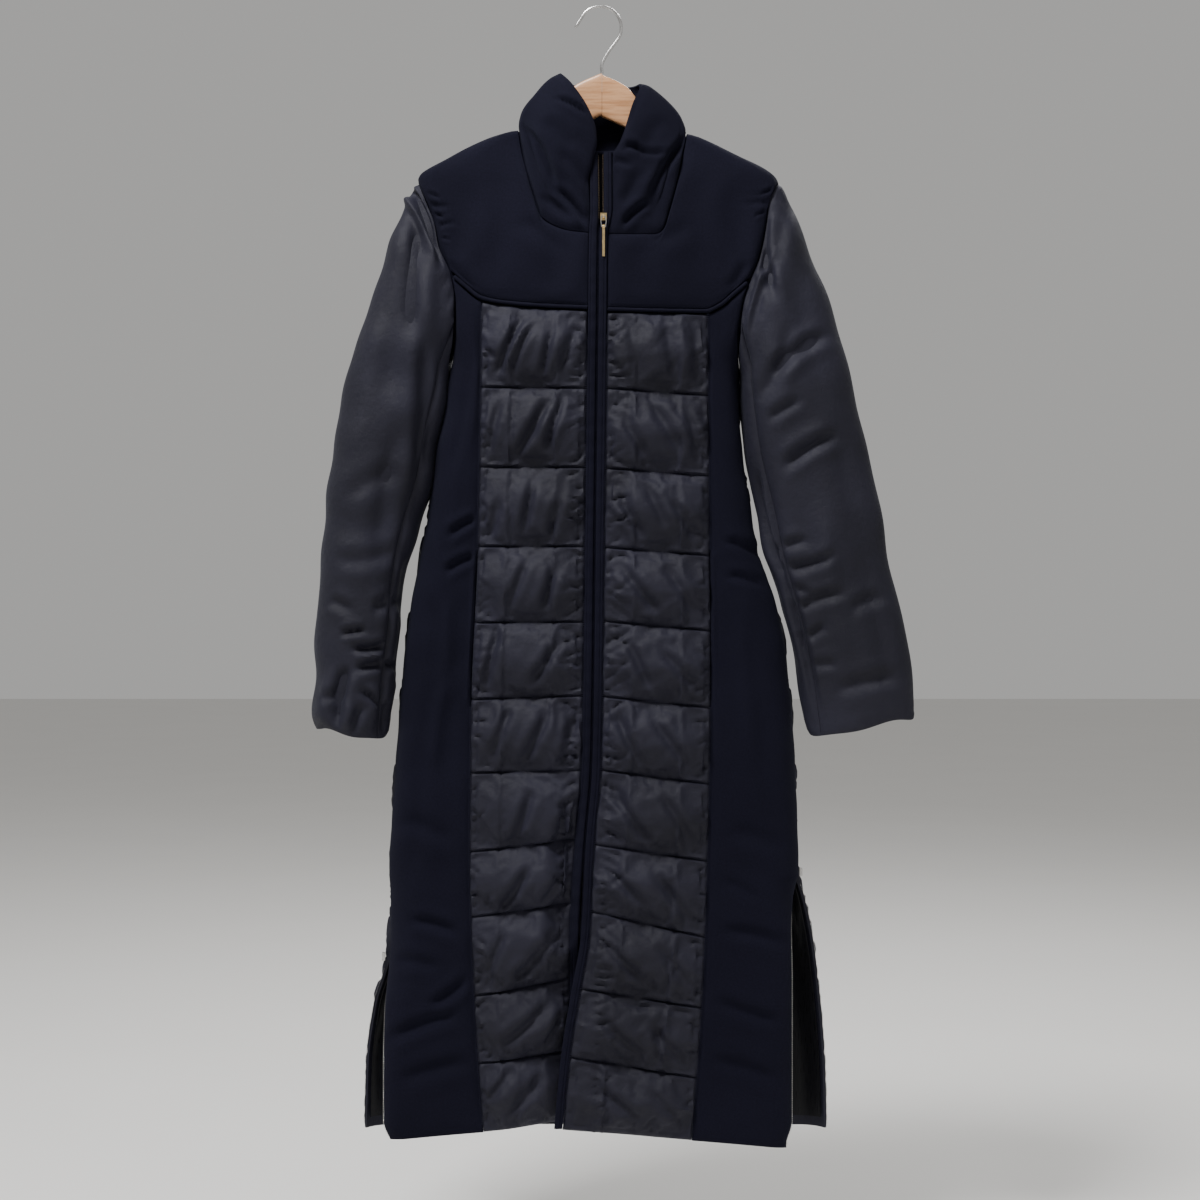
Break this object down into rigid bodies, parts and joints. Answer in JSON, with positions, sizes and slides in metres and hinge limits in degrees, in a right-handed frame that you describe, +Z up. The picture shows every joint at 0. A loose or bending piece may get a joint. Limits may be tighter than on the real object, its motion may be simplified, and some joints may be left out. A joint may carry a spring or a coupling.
{
  "type": "long puffer coat on a wooden hanger",
  "caption": "Long puffer coat with a stand collar, zip front, quilted front panels and side slits, hanging on a wooden hanger with a wire hook.",
  "frame": {"origin": "inside top of the hanger's hook, where it hangs", "axes": "+Z up, the coat's front faces -Y, +X to the viewer's right"},
  "size_m": [0.6788, 0.1088, 1.2724],
  "materials": {
    "nylon": "soft sheen",
    "wool": "matte",
    "satin": "satin",
    "brass": "polished",
    "steel": "polished",
    "wood": "satin"
  },
  "bodies": {
    "coat": {"quilt_left": "nylon", "quilt_right": "nylon", "sleeve_left_top": "nylon", "sleeve_left_under": "nylon", "sleeve_right_top": "nylon", "sleeve_right_under": "nylon", "back": "nylon", "collar": "wool", "yoke_left": "wool", "yoke_right": "wool", "side_panel_left": "wool", "side_panel_right": "wool", "placket_left": "wool", "placket_right": "wool", "zip_tape_left": "wool", "zip_tape_right": "wool", "piping_left": "wool", "piping_right": "wool", "back_lining": "satin", "zip_slider": "brass", "hanger_hook": "steel", "side_slider_left": "steel", "side_slider_right": "steel", "hanger_arm_left": "wood", "hanger_arm_right": "wood"},
    "link": {"pull_link": "steel"},
    "bar": {"pull_bar": "brass"}
  },
  "joints": [
    {"name": "link_swing", "type": "hinge", "parent": "coat", "child": "link", "pos_m": [0.0039, -0.043, -0.241], "axis": [-1, 0, 0], "range_deg": [0, 110]},
    {"name": "bar_swing", "type": "hinge", "parent": "link", "child": "bar", "pos_m": [0.0039, -0.043, -0.252], "axis": [-1, 0, 0], "range_deg": [0, 60]}
  ]
}
